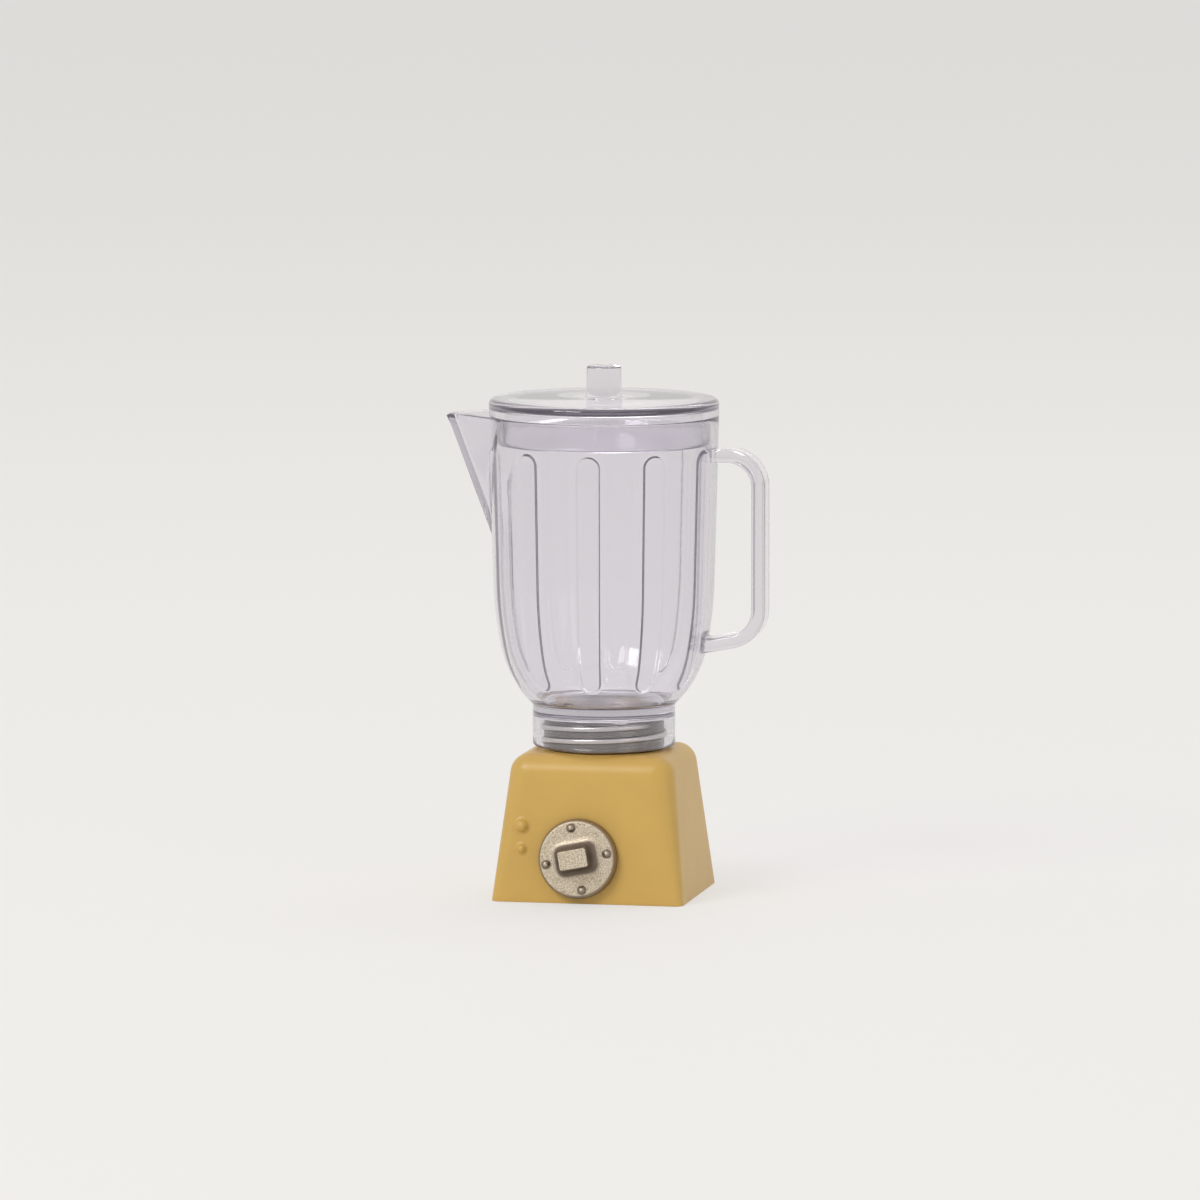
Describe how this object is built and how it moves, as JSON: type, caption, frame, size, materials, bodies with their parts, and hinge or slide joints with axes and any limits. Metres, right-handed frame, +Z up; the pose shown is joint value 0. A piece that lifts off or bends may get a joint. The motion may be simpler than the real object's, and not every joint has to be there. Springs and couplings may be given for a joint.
{
  "type": "toy blender",
  "caption": "Dollhouse toy blender: soft-edged tapered painted base with a turning dial, and a clear fluted jug with spout, handle, lid and knob that lifts off a threaded neck.",
  "frame": {"origin": "middle of the underside, on the face that the toy stands on", "axes": "+Z up along the jug's axis, -Y out of the front with the dial, +X towards the handle's side"},
  "size_m": [0.0401, 0.0284, 0.065],
  "materials": {
    "yellow_paint": "satin",
    "satin_silver": "satin, finely grained",
    "plated_steel": "plated",
    "clear_plastic": "clear, glossy"
  },
  "bodies": {
    "base": {"base_housing": "yellow_paint", "base_plate": "yellow_paint", "plate_screw_1": "plated_steel", "plate_screw_2": "plated_steel", "neck_ring": "satin_silver", "neck_screw": "plated_steel"},
    "dial": {"dial": "satin_silver", "dial_clip": "plated_steel"},
    "jug": {"jug": "clear_plastic", "jug_handle": "clear_plastic"},
    "lid": {"lid": "clear_plastic", "lid_knob": "clear_plastic"}
  },
  "joints": [
    {"name": "dial_turn", "type": "hinge", "parent": "base", "child": "dial", "pos_m": [-0.00105, -0.0103, 0.0055], "axis": [0, -0.9942, 0.108], "continuous": true},
    {"name": "jug_lift", "type": "slide", "parent": "base", "child": "jug", "axis": [0, 0, 1], "range_m": [0, 0.015]},
    {"name": "lid_lift", "type": "slide", "parent": "jug", "child": "lid", "axis": [0, 0, 1], "range_m": [0, 0.012]}
  ]
}
